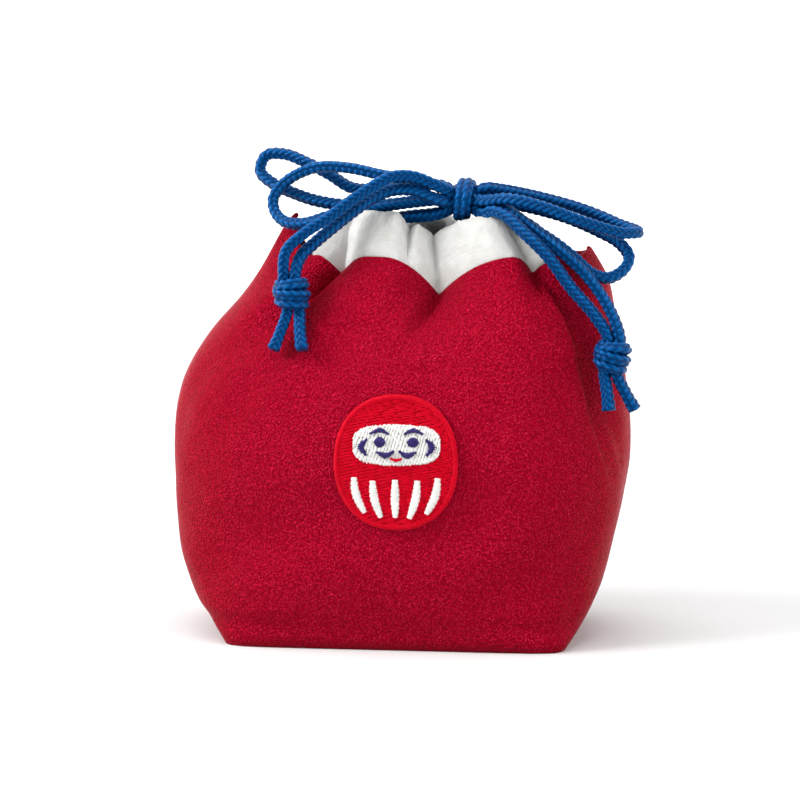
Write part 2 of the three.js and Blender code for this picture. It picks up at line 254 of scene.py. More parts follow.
# three tones of each thread, and its glint
threadColours = {
    "redThread": (((0.36, 0.0004, 0.0075), (0.475, 0.0006, 0.0115), (0.57, 0.002, 0.018)), (1, 0.05, 0.1, 1)),
    "whiteThread": (((0.56, 0.56, 0.53), (0.70, 0.70, 0.68), (0.80, 0.80, 0.78)), (1, 1, 1, 1)),
    "navyThread": (((0.010, 0.006, 0.05), (0.020, 0.012, 0.088), (0.045, 0.03, 0.14)), (0.5, 0.45, 1, 1)),
}


def makeCrepe():
    made = newMaterial("redCrepe")
    nodes, links = made[1:3]
    place = nodes.new("ShaderNodeTexCoord").outputs["Object"]
    tall = addNode(nodes, "ShaderNodeVectorMath", operation="MULTIPLY")
    links.new(place, tall.inputs[0])
    tall.inputs[1].default_value = crepeLook["tall"]
    warp = addNoise(nodes, links, place, *crepeLook["warp"])
    bent = addNode(nodes, "ShaderNodeVectorMath", operation="MULTIPLY_ADD")
    links.new(warp.outputs["Color"], bent.inputs[0])
    bent.inputs[1].default_value = crepeLook["bend"]
    links.new(tall.outputs[0], bent.inputs[2])
    pebble = addNode(nodes, "ShaderNodeTexVoronoi", feature="SMOOTH_F1", Scale=crepeLook["pebble"],
                     Smoothness=crepeLook["pebbleBlend"])
    links.new(bent.outputs[0], pebble.inputs["Vector"])
    crinkle = addNoise(nodes, links, bent.outputs[0], *crepeLook["crinkle"]).outputs["Fac"]
    cloud = addNoise(nodes, links, place, *crepeLook["cloud"]).outputs["Fac"]
    dome = addMath(nodes, links, "SUBTRACT", 1, pebble.outputs["Distance"])
    grain = addSum(nodes, links, *zip((dome, crinkle), crepeLook["grain"]))
    drift = addMath(nodes, links, "SUBTRACT", cloud, 0.5)
    drift = addMath(nodes, links, "MULTIPLY", drift, crepeLook["drift"])
    # the tone follows the grain's height, so the pebble tops take the painted highlight of the lightest tone
    return dress(made, addMath(nodes, links, "ADD", grain, drift), grain, crepeLook)


def makeWhiteCloth():
    made = newMaterial("whiteCloth")
    nodes, links = made[1:3]
    coords = nodes.new("ShaderNodeTexCoord")
    scale, wander, fine = whiteLook["weave"]
    waves = []
    for way in ("X", "Y"):
        wave = addNode(nodes, "ShaderNodeTexWave", wave_type="BANDS", bands_direction=way, Scale=scale,
                       Distortion=wander, Detail_Scale=fine)
        links.new(coords.outputs["UV"], wave.inputs["Vector"])
        waves.append(wave.outputs["Fac"])
    weave = addMath(nodes, links, "MULTIPLY", *waves)
    slub, crush = (addNoise(nodes, links, coords.outputs["Object"], *whiteLook[name]).outputs["Fac"]
                   for name in ("slub", "crush"))
    height = addSum(nodes, links, *zip((weave, slub, crush), whiteLook["heights"]))
    return dress(made, crush, height, whiteLook)


def makeFibreGroup():
    # filaments that run along a thread or strand: x of the weave map along it, y across it
    group = bpy.data.node_groups.new("threadFibres", "ShaderNodeTree")
    for name, value in (("Along", 1), ("Across", 20)):
        group.interface.new_socket(name, in_out="INPUT", socket_type="NodeSocketFloat").default_value = value
    group.interface.new_socket("Fibre", in_out="OUTPUT", socket_type="NodeSocketFloat")
    nodes, links = group.nodes, group.links
    entry, leave = nodes.new("NodeGroupInput"), nodes.new("NodeGroupOutput")
    place = addNode(nodes, "ShaderNodeUVMap", uv_map="weave")
    split = nodes.new("ShaderNodeSeparateXYZ")
    join = nodes.new("ShaderNodeCombineXYZ")
    links.new(place.outputs["UV"], split.inputs[0])
    for axis, name in (("X", "Along"), ("Y", "Across")):
        stretched = addMath(nodes, links, "MULTIPLY", split.outputs[axis], entry.outputs[name])
        links.new(stretched, join.inputs[axis])
    fibre = addNoise(nodes, links, join.outputs[0], 1, 2)
    links.new(fibre.outputs["Fac"], leave.inputs["Fibre"])
    return group


threadFibres = makeFibreGroup()


def makeYarn(name, look):
    # braid or thread: filaments and a cloud of tone, and on the braid the lift of the plait, which paints
    # shade into its crevices and a highlight onto its crowns
    made = newMaterial(name)
    nodes, links = made[1:3]
    along, across = look["fibres"]
    strand = addNode(nodes, "ShaderNodeGroup", node_tree=threadFibres, Along=along, Across=across)
    strand = strand.outputs["Fibre"]
    place = nodes.new("ShaderNodeTexCoord").outputs["Object"]
    parts = [strand, addNoise(nodes, links, place, *look["cloud"]).outputs["Fac"]]
    # on the braid, the plait's lift darkens the crevices and lightens the crowns: painted shade and painted
    # highlight
    if len(look["weights"]) > len(parts):
        parts.append(addNode(nodes, "ShaderNodeAttribute", attribute_name="lift").outputs["Fac"])
    return dress(made, addSum(nodes, links, *zip(parts, look["weights"])), strand, look)


def makeThread(name, colours, glint):
    look = {**threadLook, "tones": list(zip(threadLook["stops"], colours))}
    look["shader"] = {**threadLook["shader"], "Specular Tint": glint}
    return makeYarn(name, look)


crepe = makeCrepe()
whiteCloth = makeWhiteCloth()
blueBraid = makeYarn("blueBraid", braidLook)
threads = [makeThread(name, *tones) for name, tones in threadColours.items()]
print("materials made")


# cords: routes in millimetres, close to the solids'; a cord passes the bow at either side of its middle
bow = {"middle": (21, -2.8, 147.2), "squeeze": 0.42}
endKnots = {
    "left": {"place": (-33.5, -28, 118), "lean": 0.12},
    "right": {"place": (71.6, -23.3, 98), "lean": -0.1},
}
endKnotReach = 5.4
pairBeside = 1.95

leads = {
    "leftFront": [
        (-24.6, -11, 131), (-24, -9.3, 131.8), (-22.6, -6.9, 133.4), (-18.4, -4.9, 136.3),
        (-10, -4.4, 139.2), (2, -4.8, 141.2), (13.7, -5, 142.8)],
    "leftBack": [
        (-24.6, 11.4, 128.4), (-24, 9.6, 129.4), (-22.6, 7, 131.5), (-18.4, 4.4, 135.2), (-10, 2, 138.8),
        (2, 0, 141.2), (13.7, -0.6, 142.8)],
    "rightFront": [
        (46.9, -13.8, 127.6), (46.2, -12.2, 128.6), (45, -9.1, 131), (41.8, -4, 136), (36, -0.8, 140.8),
        (28.3, -0.6, 142.8)],
    "rightBack": [
        (52.3, 11.9, 127.6), (51.4, 9.9, 128.6), (49.6, 6.9, 131.1), (45.2, 4.2, 136.6), (36, 3.8, 141.6),
        (28.3, 3.8, 142.8)],
}
loops = {
    "leftUpper": [
        (13.7, -0.6, 151.6), (6, 0.2, 151.8), (-6, 1, 150.4), (-17, 2, 150.6), (-25, 4, 155),
        (-33, 6, 158.8), (-41, 8, 161.6), (-47.4, 8.6, 161), (-49.2, 7.6, 155.8), (-44, 5.4, 151.4),
        (-37.6, 3.2, 148.8), (-30, 1.6, 146.4), (-20, 0.2, 144.9), (-9, -0.4, 144.8), (4, -0.6, 146.2),
        (13.7, -0.6, 147.2)],
    "leftLower": [
        (13.7, -5, 151.6), (5, -4.8, 153.6), (-6, -4, 155.2), (-17, -2.4, 157.4), (-27, -1.4, 157.8),
        (-34, -0.8, 155.8), (-40, -0.6, 152), (-43.4, -1.4, 147), (-42.4, -3.4, 142.4),
        (-38.4, -6.6, 139.4), (-31.6, -9.4, 139.2), (-23, -9.8, 141.8), (-12, -8.8, 144), (2, -6.6, 146.2),
        (13.7, -5, 147.2)],
    "rightUpper": [
        (28.3, -5, 151), (33, -2.6, 150.6), (39, 0.4, 149.4), (48, 4, 147.2), (58, 5.8, 144.4),
        (66, 5.4, 141.6), (73, 3, 138.8), (78.4, -1.4, 137.2), (79, -6.4, 136.8), (74, -11, 137),
        (66, -13.8, 139.2), (58, -15, 142), (48, -15, 145.6), (37, -13.2, 148), (28.3, -9.4, 147.2)],
    "rightLower": [
        (28.3, -0.6, 147.2), (35, -2, 146.2), (45, -4, 144.4), (56, -5, 141.4), (66, -5.4, 137.2),
        (73, -6.6, 133.4), (76.4, -9, 129), (75, -11.8, 125.2), (70, -14.2, 122.4), (64.4, -14.8, 123.8),
        (58.6, -14.6, 128.8), (53, -13.8, 133.2), (46, -10.8, 137.4), (37, -6.6, 141.2), (28.3, -5, 142.8)],
}
tails = {
    "leftFront": [
        (13.7, -9.4, 151.6), (5, -11.8, 155.2), (-2, -14.5, 155.2), (-8.5, -17.5, 151.8),
        (-14.7, -20.8, 147.6), (-21.8, -24.2, 142.2), (-29.6, -27.4, 137), (-35.2, -28.2, 131.4)],
    "leftBack": [
        (13.7, -9.4, 147.2), (5, -10.8, 150.6), (-2, -11.8, 150.6), (-7.5, -13.6, 148.4), (-13, -17, 144.8),
        (-19.8, -20.4, 139.4), (-26.4, -23.6, 133.8), (-30.6, -26.6, 129.4)],
    "rightFront": [
        (28.3, -9.4, 142.8), (31.6, -12.4, 144), (36.4, -16.4, 142.6), (42.4, -20, 137.4), (50, -22, 130.2),
        (58, -22, 119.6), (65.6, -22.6, 111)],
    "rightBack": [
        (28.3, -5, 147.2), (32, -7, 146.4), (38.4, -11.2, 143), (44.4, -15, 138.6), (53, -18.4, 132.4),
        (63, -19.6, 123.4), (70.6, -21.4, 112.6)],
}
cutEnds = {
    "leftFront": [(-37, -31.4, 104.4), (-38.8, -33.6, 99.6)],
    "leftBack": [(-30, -32.4, 104.4), (-29, -34.8, 99.8)],
    "rightFront": [(70.2, -25.4, 85), (70.8, -26.6, 80)],
    "rightBack": [(76.4, -23.4, 85), (79.2, -23.2, 80)],
}
# each cord: its lead, the loop it makes, its tail and side of the pair, and the solids it stands for
cords = {
    "cordLeftFront": {
        "lead": "leftFront", "loop": "rightUpper", "back": False, "tail": "leftFront", "beside": -1,
        "nodes": ("lead_left_front", "loop_right_upper", "tail_left_front", "cut_end_left_front")},
    "cordLeftBack": {
        "lead": "leftBack", "loop": "rightLower", "back": False, "tail": "leftBack", "beside": 1,
        "nodes": ("lead_left_back", "loop_right_lower", "tail_left_back", "cut_end_left_back")},
    "cordRightFront": {
        "lead": "rightFront", "loop": "leftLower", "back": True, "tail": "rightBack", "beside": 1,
        "nodes": ("lead_right_front", "loop_left_lower", "tail_right_back", "cut_end_right_back")},
    "cordRightBack": {
        "lead": "rightBack", "loop": "leftUpper", "back": True, "tail": "rightFront", "beside": -1,
        "nodes": ("lead_right_back", "loop_left_upper", "tail_right_front", "cut_end_right_front")},
}
braid = {
    "diameter": 4, "ribs": 4, "stitch": 2.25, "crown": 2.14, "dip": 0.78, "sides": 40, "step": 0.33,
    "sway": 0.09, "slant": 1.05, "stagger": 0.25, "fill": 1.92, "blunt": 0.42,  # a stitch
    # the end lift sets the painted shade of the tips of the cut ends
    "endSoft": 0.4, "endShare": 0.86, "endDome": 0.1, "endShadeLift": 0.35, "splay": 0.14,
    "splayRun": 5, "pathEvery": 6,
}


def throughBow(point):
    # where a cord passes the middle of the bow, drawn in by the wrap
    x, y, z = bow["middle"]
    return (x, y + (point[1] - y) * bow["squeeze"], z + (point[2] - z) * bow["squeeze"])


def onKnot(knot, across, deep, up):
    # a point of a leaning end knot, from its middle
    x, y, z = knot["place"]
    cosine, sine = math.cos(knot["lean"]), math.sin(knot["lean"])
    return (x + across * cosine - up * sine, y + deep, z + across * sine + up * cosine)


def knotSide(cord):
    return "left" if cord["tail"].startswith("left") else "right"


def cordRoute(cord):
    lead, loop, tail = leads[cord["lead"]], loops[cord["loop"]], tails[cord["tail"]]
    loop = loop[::-1] if cord["back"] else loop
    middles = [throughBow(np.add(lead[-1], loop[0]) / 2), throughBow(np.add(loop[-1], tail[0]) / 2)]
    throughKnot = [onKnot(endKnots[knotSide(cord)], cord["beside"] * pairBeside, 0, up)
                   for up in (endKnotReach, 0, -endKnotReach)]
    return lead + middles[:1] + loop + middles[1:] + tail + throughKnot + cutEnds[cord["tail"]]


def plaitRow(turn, run):
    return braid["ribs"] * turn + braid["sway"] * np.sin(2 * math.pi * run)


def plaitAt(turn, run, rib):
    # where a point lies on the stitch it belongs to; ribs slant to either hand by turns
    across = plaitRow(turn, run) - rib
    slant = np.where(rib % 2 == 0, 1.0, -1.0)
    return across, run - slant * across * braid["slant"] + braid["stagger"] * slant


def plaitHeight(turn, run):
    rib = np.floor(plaitRow(turn, run))
    across, order = plaitAt(turn, run, rib)
    beside = order - np.floor(order) - 0.5
    ridge = np.sqrt(np.clip(1 - (braid["fill"] * beside) ** 2, 0, 1))
    return ridge * np.clip(np.sin(math.pi * np.clip(across, 0, 1)), 0, 1) ** braid["blunt"], rib


def braidedTube(name, path, crown, splay=0.0):
    # closed tube whose skin has the relief of the plait
    sides, pitch, dome = braid["sides"], braid["stitch"], braid["endDome"]
    along, side, other = pathFrames(path)
    run = runOf(path)
    turn = np.arange(sides) / sides
    height, _ = plaitHeight(turn[None, :] + 0 * run[:, None], run[:, None] / pitch + 0 * turn[None, :])
    # the ends are cut square, the far one a little splayed
    toEnd = np.clip(np.minimum(run, run[-1] - run) / braid["endSoft"], 0, 1)
    share = braid["endShare"] + (1 - braid["endShare"]) * toEnd
    spread = 1 + splay * smoothStep(run, run[-1] - braid["splayRun"], run[-1])
    radius = (crown - braid["dip"] * (1 - height)) * share[:, None] * spread[:, None]
    angle = turn * 2 * math.pi
    points = (path[:, None, :] + side[:, None, :] * (radius * np.cos(angle))[:, :, None]
              + other[:, None, :] * (radius * np.sin(angle))[:, :, None]).reshape(-1, 3)
    points = np.vstack([points, path[0] - along[0] * dome, path[-1] + along[-1] * dome])
    # the weave map of a face follows the stitch at its middle
    row, column = np.meshgrid(np.arange(len(path) - 1), np.arange(sides), indexing="ij")
    _, rib = plaitHeight((column + 0.5) / sides, (run[row] + run[row + 1]) / 2 / pitch)
    uvs = []
    for down, beside in ((0, 0), (0, 1), (1, 1), (1, 0)):
        across, order = plaitAt((column + beside) / sides, run[row + down] / pitch, rib)
        uvs.append(np.stack([across + rib * 3, order], -1))
    caps = np.tile([(0.0, 0.0), (0.3, 0.2), (0.3, 0.0)], (2 * sides, 1))
    uvs = np.vstack([np.stack(uvs, 2).reshape(-1, 2), caps])
    # the plait's height at each point, which the braid's colour turns into painted shade in the crevices and
    # a painted highlight on the crowns; the end caps get a middling, shaded tone
    lift = np.concatenate([height.ravel(), [braid["endShadeLift"]] * 2])
    return addPiece(name, points * mm, tubeFaces(len(path), sides), [blueBraid], uvs, lift)


def makeCords():
    made = {}
    for name, cord in cords.items():
        path, length = smoothPath(cordRoute(cord), braid["step"])
        piece = braidedTube(name, path, braid["crown"], braid["splay"])
        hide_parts(*cord["nodes"])
        made[name] = {"piece": piece, "path": path[::braid["pathEvery"]] * mm, "length": length}
        print("cord", name, round(length, 1), "mm")
    return made


cordPieces = makeCords()


# the wraps: round the bow, and the overhand knot of each pair of tails
wrap = {"turns": 2.15, "start": 0.3, "width": 4.1, "sway": 0.3, "halfHeight": 5.25, "halfDepth": 6.9,
        "tuck": 0.6, "crown": 2.16, "points": 60}
overhand = {"turns": 3.05, "start": 0.6, "height": 9.2, "waist": 2.75, "barrel": 1.25, "round": 0.7,
            "wide": 1.1, "tilts": (0.34, -0.06), "tuck": 0.7, "crown": 2.12, "points": 72}
tuckFrom = 0.9  # share of the way from the middle where a wrap goes under


def tuckedIn(t, depth):
    return 1 - depth * float(smoothStep(abs(2 * t - 1), tuckFrom, 1))


def makeBowKnot():
    x, y, z = bow["middle"]
    route = []
    for i in range(wrap["points"] + 1):
        t = i / wrap["points"]
        turn = 2 * math.pi * (wrap["turns"] * t + wrap["start"])
        deep = tuckedIn(t, wrap["tuck"])
        route.append((x + wrap["width"] * (t - 0.5) + wrap["sway"] * math.sin(turn),
                      y - wrap["halfDepth"] * deep * math.cos(turn),
                      z + wrap["halfHeight"] * deep * math.sin(turn)))
    path, _ = smoothPath(route, braid["step"])
    piece = braidedTube("bowKnot", path, wrap["crown"])
    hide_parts("bow_knot")
    return piece


def makeEndKnot(side):
    upper, lower = overhand["tilts"]
    route = []
    for i in range(overhand["points"] + 1):
        t = i / overhand["points"]
        turn = 2 * math.pi * overhand["turns"] * t + overhand["start"]
        belly = math.sin(math.pi * t) ** overhand["round"]
        radius = (overhand["waist"] + overhand["barrel"] * belly) * tuckedIn(t, overhand["tuck"])
        across = radius * overhand["wide"] * math.cos(turn)
        # the upper wrap rises to the right, the lower ones lie level
        tilt = upper + (lower - upper) * min(1, t / 0.5)
        up = overhand["height"] * (0.5 - t) + tilt * across
        route.append(onKnot(endKnots[side], across, radius * math.sin(turn), up))
    path, _ = smoothPath(route, braid["step"])
    piece = braidedTube("endKnot" + side.capitalize(), path, overhand["crown"])
    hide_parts("end_knot_" + side)
    return piece


bowKnot = makeBowKnot()
knotPieces = {side: makeEndKnot(side) for side in endKnots}

print("cords and knots made")


# red body: level cuts, gathers and creases, all in millimetres
pouch = {
    "columns": 360, "levels": 116, "evenLevels": 0.6, "outlinePoints": 2881, "nudge": 0.003,
    "girth": 380, "wall": 1.6, "rim": 3, "spread": 0.6, "seam": 129,
    "floorRings": (0.93, 0.8, 0.62, 0.4, 0.18),
    # height, left, right, front, back, squareness
    "sections": np.array([
        (0, 57, 57.5, 34.5, 34.5, 12), (1.5, 58, 58.6, 35.6, 35.6, 10), (7, 63.3, 62.8, 37, 37.2, 5),
        (12, 67.6, 65.7, 38, 38.3, 4.1), (17, 70.6, 68.2, 38.8, 39.2, 3.5), (22, 72.8, 69.9, 39.5, 40, 3.2),
        (30, 75.2, 72, 40.2, 41, 3), (45, 77, 75.4, 41, 42, 2.8), (60, 77.8, 77.8, 41, 42, 2.7),
        (75, 77, 77.8, 40, 41.4, 2.5), (89, 73.4, 76.2, 37.6, 39.2, 2.4), (101, 66, 74, 34.2, 36, 2.3),
        (112, 56.5, 71.6, 30.4, 32.2, 2.2), (121, 46.5, 68.6, 26.6, 28.4, 2.1),
        (129, 36, 63.5, 22.8, 24.5, 2),
    ], float),
    "top": (142.5, 29.5, 52, 15, 16.2, 2),
    # share of the way round, reach before and after, depth and drop at the seam,
    # the same at the casing's top, fade below
    "folds": (
        (0, 0.05, 0.05, -0.5, -2.4, 0, 0, 24), (0.0875, 0.03, 0.05, 6, 6, 5, 4, 50),
        (0.2, 0.06, 0.05, 9, 11, 8, 6, 46), (0.3125, 0.05, 0.06, 8, 9, 8, 6, 42),
        (0.4125, 0.04, 0.03, 6, 6, 5, 4, 50), (0.5, 0.05, 0.05, -1, -13, 0, 0, 20),
        (0.6, 0.03, 0.05, 7, 8, 1.5, 1, 48), (0.70625, 0.02, 0.02, 0, 0, 4, 5, 8),
        (0.75, 0.08, 0.11, 9, 13, 8, 8, 44), (0.8875, 0.03, 0.025, 3.4, 5, 2, 3, 22)),
    # places on the cloth, as share of the way round and height; reach to the left and right; depth inward
    "creases": (
        (((0.886, 137), (0.893, 124), (0.915, 105.6), (0.921, 91), (0.928, 73), (0.943, 55)), 1.1, 11, 2.9),
        (((0.939, 84), (0.957, 69), (0.966, 58)), 2.4, 5, 1.1),
        (((0.93, 104), (0.955, 88), (0.962, 80)), 3, 5, 0.9),
        (((0.684, 112), (0.685, 101), (0.674, 80)), 7, 5, 1.5),
        (((0.705, 47), (0.632, 36), (0.575, 21)), 13, 9, 2.3),
        (((0.85, 57), (0.815, 45), (0.775, 32)), 9, 9, 1.3),
        (((0.74, 33), (0.685, 22), (0.625, 11)), 10, 9, -0.7),
        (((0.888, 46), (0.848, 34), (0.808, 20)), 10, 9, -0.7),
        (((0.605, 3), (0.625, 12), (0.65, 22)), 3, 5, 0.35),
        (((0.911, 4), (0.917, 10), (0.918, 22)), 3, 3, 0.7),
        (((0.927, 57), (0.921, 44), (0.908, 28)), 5, 5, 0.6),
        (((0.64, 108), (0.625, 90), (0.60, 68)), 5, 6, 1.0),
        (((0.57, 98), (0.555, 78), (0.545, 58)), 6, 6, 0.8),
        (((0.765, 114), (0.785, 98), (0.79, 84)), 5, 6, 0.8),
        (((0.685, 112), (0.75, 111), (0.835, 113)), 15, 15, -1.6),
        (((0.738, 127), (0.737, 116), (0.735, 106)), 4, 5, -2.2),
        (((0.2, 113), (0.195, 98), (0.185, 82)), 5, 5, 1.0),
        (((0.31, 113), (0.32, 98), (0.335, 80)), 5, 5, 1.0),
        (((0.12, 108), (0.1, 88), (0.09, 62)), 6, 5, 1.0), (((0.4, 108), (0.42, 88), (0.43, 64)), 5, 6, 1.0),
        (((0.25, 66), (0.28, 52), (0.33, 40)), 9, 9, 0.7), (((0.14, 44), (0.1, 30), (0.08, 18)), 8, 8, 0.7),
        (((0.37, 34), (0.4, 22), (0.41, 6)), 6, 6, 0.7), (((0.03, 92), (0.028, 70), (0.02, 50)), 6, 6, 0.9),
        (((0.975, 84), (0.98, 66), (0.985, 44)), 6, 6, 0.7),
        (((0.47, 92), (0.48, 70), (0.48, 48)), 6, 6, 0.9),
        (((0.52, 78), (0.515, 60), (0.515, 40)), 6, 6, 0.8),
        (((0.09, 4), (0.085, 12), (0.08, 22)), 4, 4, 0.8)),
    "creaseStep": 2, "creaseEnds": (0.06, 0.88, 0.7),
    "calmFoot": (2, 14), "calmTop": (112, 129), "calmShare": 0.5,  # creases fade at the foot and near the top
    "ripples": ((0.9, 34, 3.1), (0.35, 13, 8.7)),  # depth, size and seed
    "sideSeams": (0, 0.5), "seamDepth": 0.55, "seamWidth": 1.0, "seamFrom": (1, 6),
}


def throughTable(heights, values, z):
    # smooth curve through a table
    slopes = np.gradient(values, heights)
    i = np.clip(np.searchsorted(heights, z) - 1, 0, len(heights) - 2)
    span = heights[i + 1] - heights[i]
    return hermite(values[i], values[i + 1], slopes[i] * span, slopes[i + 1] * span, (z - heights[i]) / span)


def outlineRow(left, right, front, back, square, shares):
    # points of an oval or squarish outline by share of its length, and the way inward
    turn = np.linspace(0, 2 * math.pi, pouch["outlinePoints"])
    halfX, halfY = (right + left) / 2, (back + front) / 2
    x = right - halfX + halfX * np.sign(np.cos(turn)) * np.abs(np.cos(turn)) ** (2 / square)
    y = back - halfY + halfY * np.sign(np.sin(turn)) * np.abs(np.sin(turn)) ** (2 / square)
    run = np.concatenate([[0], np.cumsum(np.hypot(np.diff(x), np.diff(y)))])
    run /= run[-1]

    def at(share):
        return np.stack([np.interp(share % 1, run, x), np.interp(share % 1, run, y)], -1)

    tangent = unit(at(shares + pouch["nudge"]) - at(shares - pouch["nudge"]))
    return at(shares), np.stack([-tangent[:, 1], tangent[:, 0]], -1)


def gatherAt(shares, z):
    above = np.clip((z - pouch["seam"]) / (pouch["top"][0] - pouch["seam"]), 0, 1)
    inward, down = np.zeros(len(shares)), np.zeros(len(shares))
    for at, before, after, depth, drop, topDepth, topDrop, reach in pouch["folds"]:
        away = shares - at - np.round(shares - at)
        strength = float(smoothStep(z, pouch["seam"] - reach, pouch["seam"]))
        width = np.where(away < 0, before, after) * (1 + pouch["spread"] * (1 - strength))
        s = np.clip(np.abs(away) / width, 0, 1)
        profile = (1 - s) ** 2 * strength + np.cos(math.pi / 2 * s) ** 2 * (1 - strength)
        inward += profile * strength**2 * (depth + (topDepth - depth) * above)
        down += profile * strength**2 * (drop + (topDrop - drop) * above)
    return inward, down


def gatheredRing(z, row, shares):
    flat, inside = outlineRow(*row, shares)
    inward, down = gatherAt(shares, z)
    ring = np.column_stack([flat + inside * inward[:, None], z - down])
    return ring, np.column_stack([inside, np.zeros(len(shares))])


def creaseLines():
    girth, step = pouch["girth"], pouch["creaseStep"]
    return [(smoothPath([(share * girth, 0, height) for share, height in places], step)[0], *form)
            for places, *form in pouch["creases"]]


def creaseDepth(shares, z, creases):
    # sum of the soft creases, measured on the cloth
    total = np.zeros(len(shares))
    start, share, power = pouch["creaseEnds"]
    each = np.arange(len(shares))
    for line, reachLeft, reachRight, depth in creases:
        away = shares[:, None] * pouch["girth"] - line[None, :, 0]
        away -= np.round(away / pouch["girth"]) * pouch["girth"]
        distance = np.hypot(away, z - line[None, :, 2])
        nearest = np.argmin(distance, axis=1)
        reach = np.where(away[each, nearest] < 0, reachLeft, reachRight)
        taper = np.sin(math.pi * (start + share * nearest / (len(line) - 1))) ** power
        total += depth * taper * np.exp(-(distance[each, nearest] / reach) ** 2)
    return total


def softNoise(points, size, seed):
    places = np.asarray(points) / size + (seed, 0, 0)
    return np.array([noise.noise(Vector(place)) for place in places])


def bodyGrid():
    shares = np.arange(pouch["columns"]) / pouch["columns"]
    t = np.linspace(0, 1, pouch["levels"])
    even = pouch["evenLevels"]
    levels = pouch["seam"] * (even * t + (1 - even) * (0.5 - 0.5 * np.cos(math.pi * t)))
    table = pouch["sections"]
    creases = creaseLines()
    rings = []
    for z in levels:
        row = [float(throughTable(table[:, 0], table[:, k], z)) for k in range(1, 6)]
        ring, inside = gatheredRing(z, row, shares)
        fade = 1 - pouch["calmShare"] * smoothStep(z, *pouch["calmTop"])
        calm = float(smoothStep(z, *pouch["calmFoot"]) * fade)
        dent = creaseDepth(shares, z, creases) * calm
        dent += calm * sum(depth * softNoise(ring, size, seed) for depth, size, seed in pouch["ripples"])
        for seam in pouch["sideSeams"]:
            away = (shares - seam - np.round(shares - seam)) * pouch["girth"]
            groove = pouch["seamDepth"] * np.exp(-(away / pouch["seamWidth"]) ** 2)
            dent += groove * float(smoothStep(z, *pouch["seamFrom"]))
        rings.append(ring + inside * dent[:, None])
    return np.array(rings)


def makeBody():
    outer = bodyGrid()
    wall, columns = pouch["wall"], pouch["columns"]
    # the inner wall lies inside along the normals of the rings
    around = np.roll(outer, -1, axis=1) - np.roll(outer, 1, axis=1)
    upward = np.gradient(outer, axis=0)
    inner = outer - unit(np.cross(around, upward)) * wall
    inner[:, :, 2] = np.maximum(inner[:, :, 2], wall)
    # rounded rim between the two walls
    middle, half, up = (outer[-1] + inner[-1]) / 2, (outer[-1] - inner[-1]) / 2, unit(upward[-1])
    turns = [math.pi * k / (pouch["rim"] + 1) for k in range(1, pouch["rim"] + 1)]
    rim = [middle + half * math.cos(turn) + up * (wall / 2) * math.sin(turn) for turn in turns]
    # floors, drawn in to the middle in rings
    under, inside = ([np.column_stack([ring[:, :2] * k, np.full(columns, z)]) for k in pouch["floorRings"]]
                     for ring, z in ((outer[0], 0), (inner[0], wall)))
    rows = under[::-1] + list(outer) + rim + list(inner[::-1]) + inside
    points = np.vstack(rows + [(0, 0, 0), (0, 0, wall)])
    piece = addPiece("pouchBody", points * mm, tubeFaces(len(rows), columns), [crepe])
    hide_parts("pouch_body")
    return piece, outer


pouchBody, bodyOuter = makeBody()
print("body made", len(pouchBody.data.polygons), "faces")


# white casings: a sleeve of cloth over the cord, gathered into lobes
casing = {
    "spans": {"front": (0.5625, 0.9125), "back": (0.05625, 0.4375)},
    "falls": {"front": (0.55, 0.95), "back": (0.95, 0.8)}, "fallFrom": 0.84,  # how far the ends come down
    "seeds": {"front": 1.7, "back": 5.3}, "along": 320, "round": 56, "lean": 0.045, "waver": (0.8, 8),
    "full": 3.0, "pinched": 0.66, "pinchDepth": 8, "square": 0.72, "proud": 0.9, "tuck": 1.6, "cloth": 0.5,
    # depth, size and seed of the ripples, how far they stretch upward, and whether they are sharp
    "ripples": ((0.65, 5, 0, 0.4, False), (0.45, 4.2, 4, 1, False), (0.5, 3.2, 9, 1, True),
                (0.26, 1.7, 13, 1, True)),
    "footRipple": 0.3, "flat": (0.128, 0.032),
}


